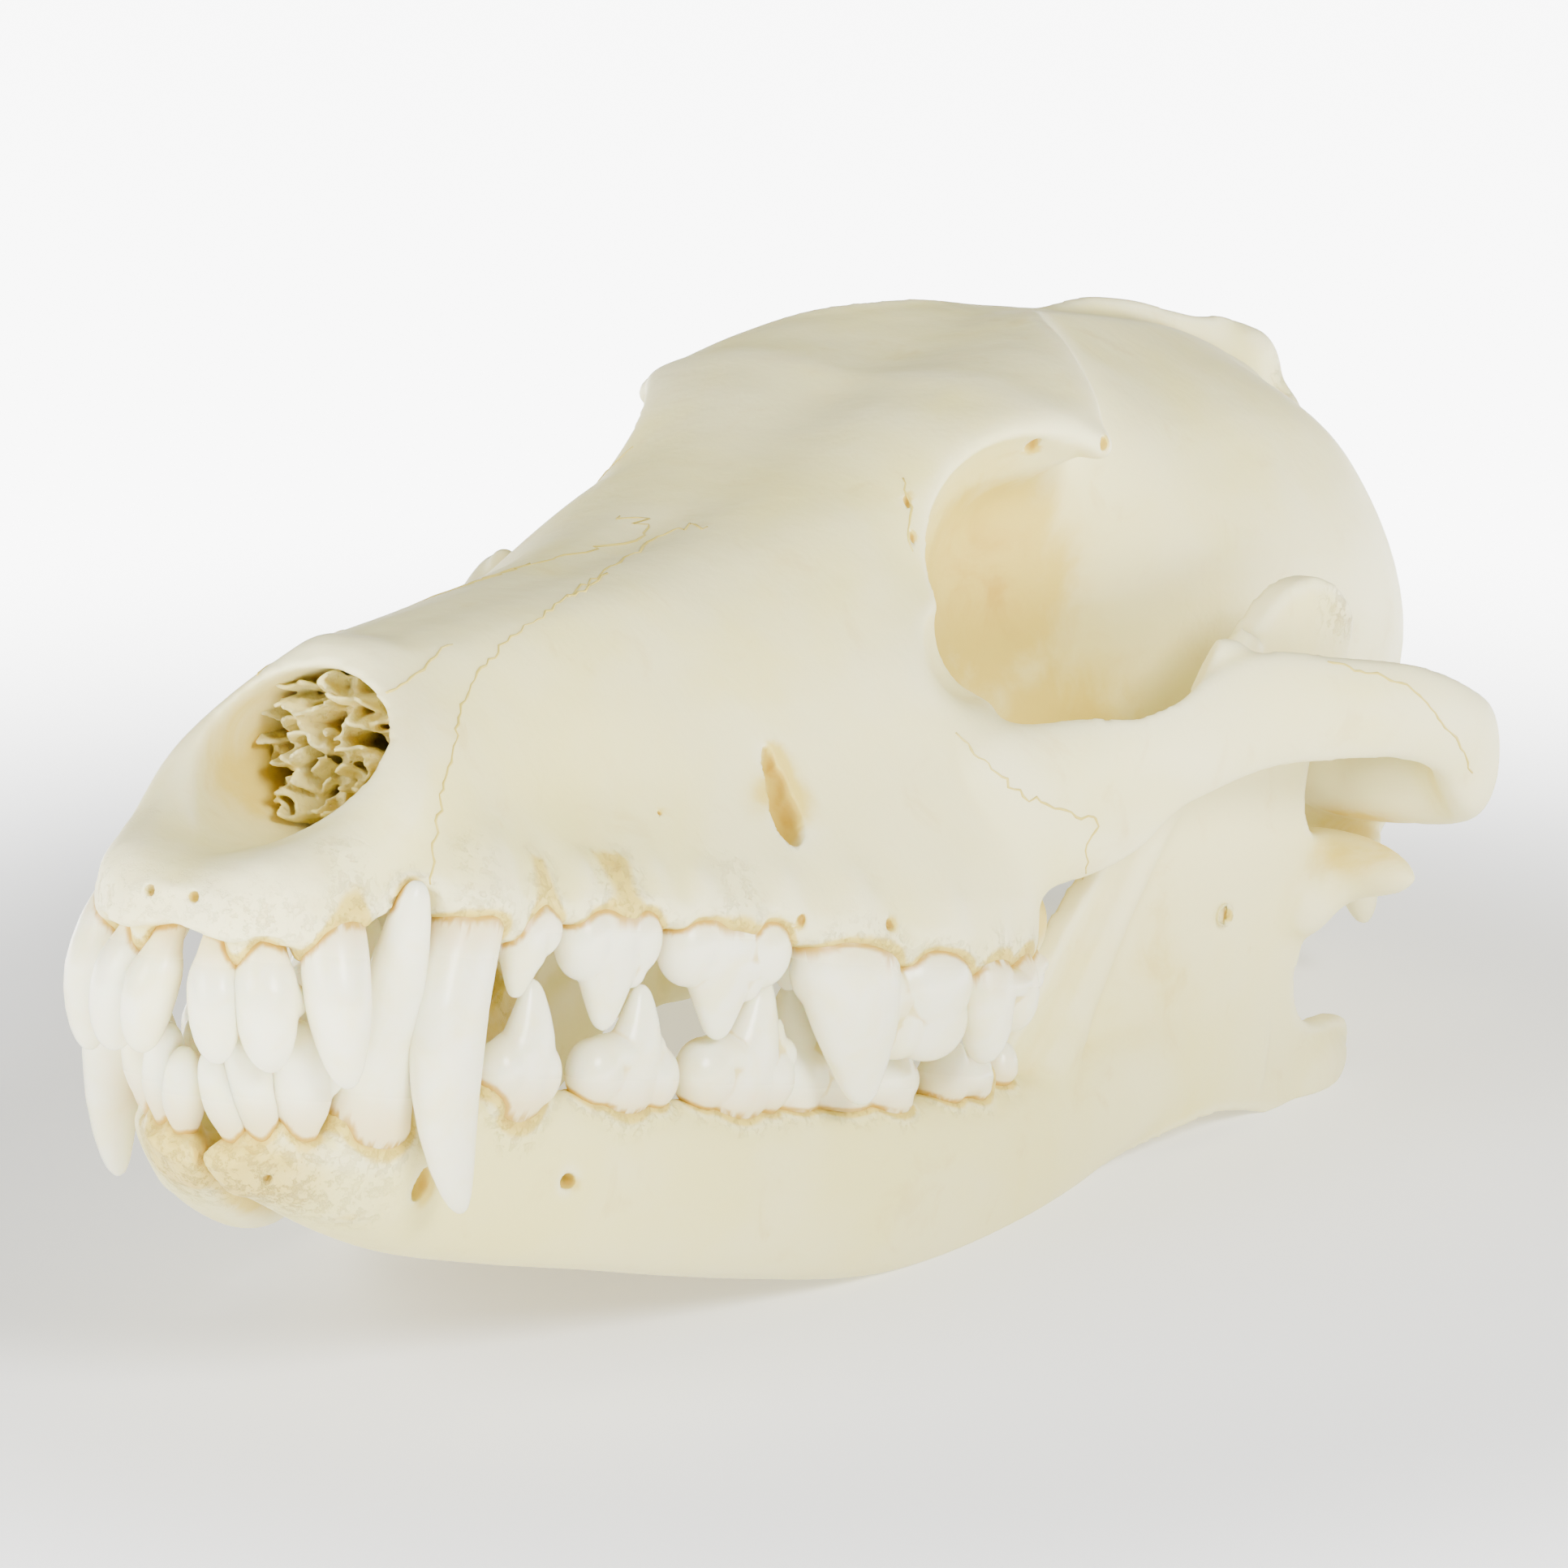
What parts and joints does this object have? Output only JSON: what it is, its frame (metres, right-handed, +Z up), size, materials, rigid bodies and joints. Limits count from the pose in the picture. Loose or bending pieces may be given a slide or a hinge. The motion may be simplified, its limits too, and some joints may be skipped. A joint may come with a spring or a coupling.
{
  "type": "coyote skull",
  "caption": "Life-size adult coyote skull with closed lower jaw and full teeth, resting on the underside of the jaw; a still museum model.",
  "frame": {"origin": "centre of the bounding box on the floor the jaw rests on", "axes": "+X to the animal's left, +Y towards the back of the head, +Z up, at the tilt at which the skull rests on its jaw"},
  "size_m": [0.102, 0.2006, 0.0718],
  "materials": {
    "bone": "cleaned ivory bone, smooth and matte, ochre in the hollows and sutures",
    "scroll_bone": "thin porous ochre bone inside the nose",
    "tooth": "white satin tooth enamel, warmer at the neck"
  },
  "bodies": {
    "root": {"upper_jaw_and_face": "bone", "braincase": "bone", "cheekbone_left": "bone", "cheekbone_right": "bone", "jaw_left": "bone", "jaw_right": "bone", "nose_scrolls": "scroll_bone"}
  },
  "joints": []
}
